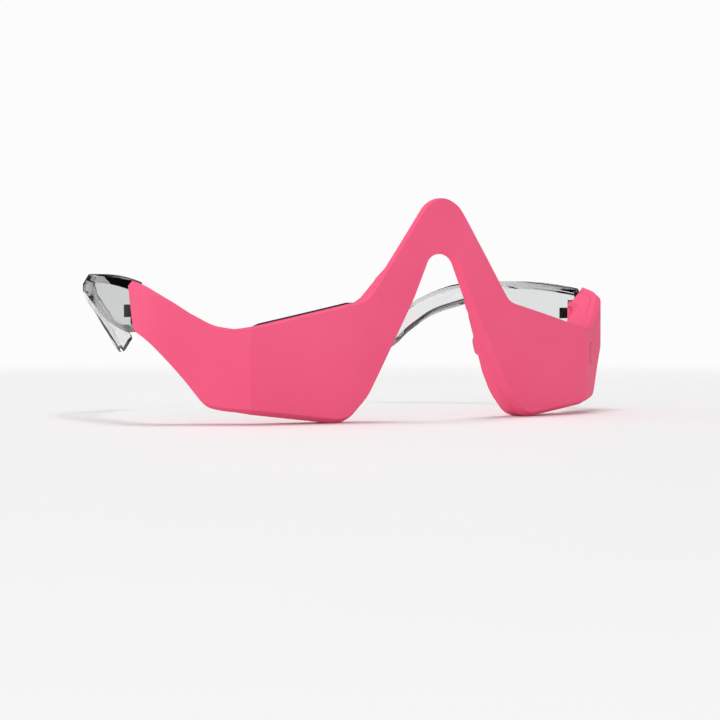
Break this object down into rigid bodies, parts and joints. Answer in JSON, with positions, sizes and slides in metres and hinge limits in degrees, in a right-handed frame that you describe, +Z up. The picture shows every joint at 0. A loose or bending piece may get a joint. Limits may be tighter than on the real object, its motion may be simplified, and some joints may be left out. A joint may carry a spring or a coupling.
{
  "type": "red light eye device",
  "caption": "Spectacle-shaped light device for the skin under the eyes: pink moulded frame arched high over the nose, light windows facing the cheeks, clear folding arms.",
  "frame": {"origin": "under the middle of the whole device, level with the lowest points of the two cheek lobes", "axes": "+X to the wearer's left, +Y from the front frame back along the arms, +Z up"},
  "size_m": [0.1536, 0.1, 0.059],
  "materials": {
    "pink_plastic": "satin",
    "clear_plastic": "polished clear",
    "black_plastic": "matte",
    "steel": "bright",
    "circuit_board": "solder mask",
    "cable_film": "film",
    "wire_cover": "matte",
    "battery_foil": "foil",
    "foam": "foam",
    "window_plastic": "polished tinted",
    "lamp_resin": "resin",
    "silicone": "soft matte"
  },
  "bodies": {
    "frame": {"front_shell": "pink_plastic", "left_inner_cover": "pink_plastic", "right_inner_cover": "pink_plastic", "bridge_cable": "cable_film", "bridge_strip": "pink_plastic", "main_board": "circuit_board", "board_chips": "black_plastic", "switch_body": "black_plastic", "status_light_pipe": "clear_plastic", "charging_socket": "steel", "socket_tongue": "black_plastic", "board_leads": "wire_cover", "battery_cell": "battery_foil", "battery_pad": "foam", "battery_leads": "wire_cover", "left_rim_trim": "black_plastic", "left_light_window": "window_plastic", "left_light_board": "circuit_board", "left_lamps": "lamp_resin", "left_board_screws": "steel", "left_nose_pad": "silicone", "right_rim_trim": "black_plastic", "right_light_window": "window_plastic", "right_light_board": "circuit_board", "right_lamps": "lamp_resin", "right_board_screws": "steel", "right_nose_pad": "silicone"},
    "power_button": {"power_button": "pink_plastic", "switch_plunger": "black_plastic"},
    "left_arm": {"left_arm": "clear_plastic", "left_hinge_leaf": "black_plastic", "left_hinge_knuckle": "pink_plastic", "left_hinge_pin": "steel"},
    "right_arm": {"right_arm": "clear_plastic", "right_hinge_leaf": "black_plastic", "right_hinge_knuckle": "pink_plastic", "right_hinge_pin": "steel"}
  },
  "joints": [
    {"name": "left_arm_hinge", "type": "hinge", "parent": "frame", "child": "left_arm", "pos_m": [0.07215, -0.01683, 0.029], "axis": [0, 0, 1], "range_deg": [0, 80]},
    {"name": "right_arm_hinge", "type": "hinge", "parent": "frame", "child": "right_arm", "pos_m": [-0.07215, -0.01683, 0.029], "axis": [0, 0, -1], "range_deg": [0, 60]},
    {"name": "power_button_press", "type": "slide", "parent": "frame", "child": "power_button", "axis": [-0.628, 0.7782, 0], "range_m": [0, 0.0004], "stiffness_N_per_m": 1500}
  ]
}
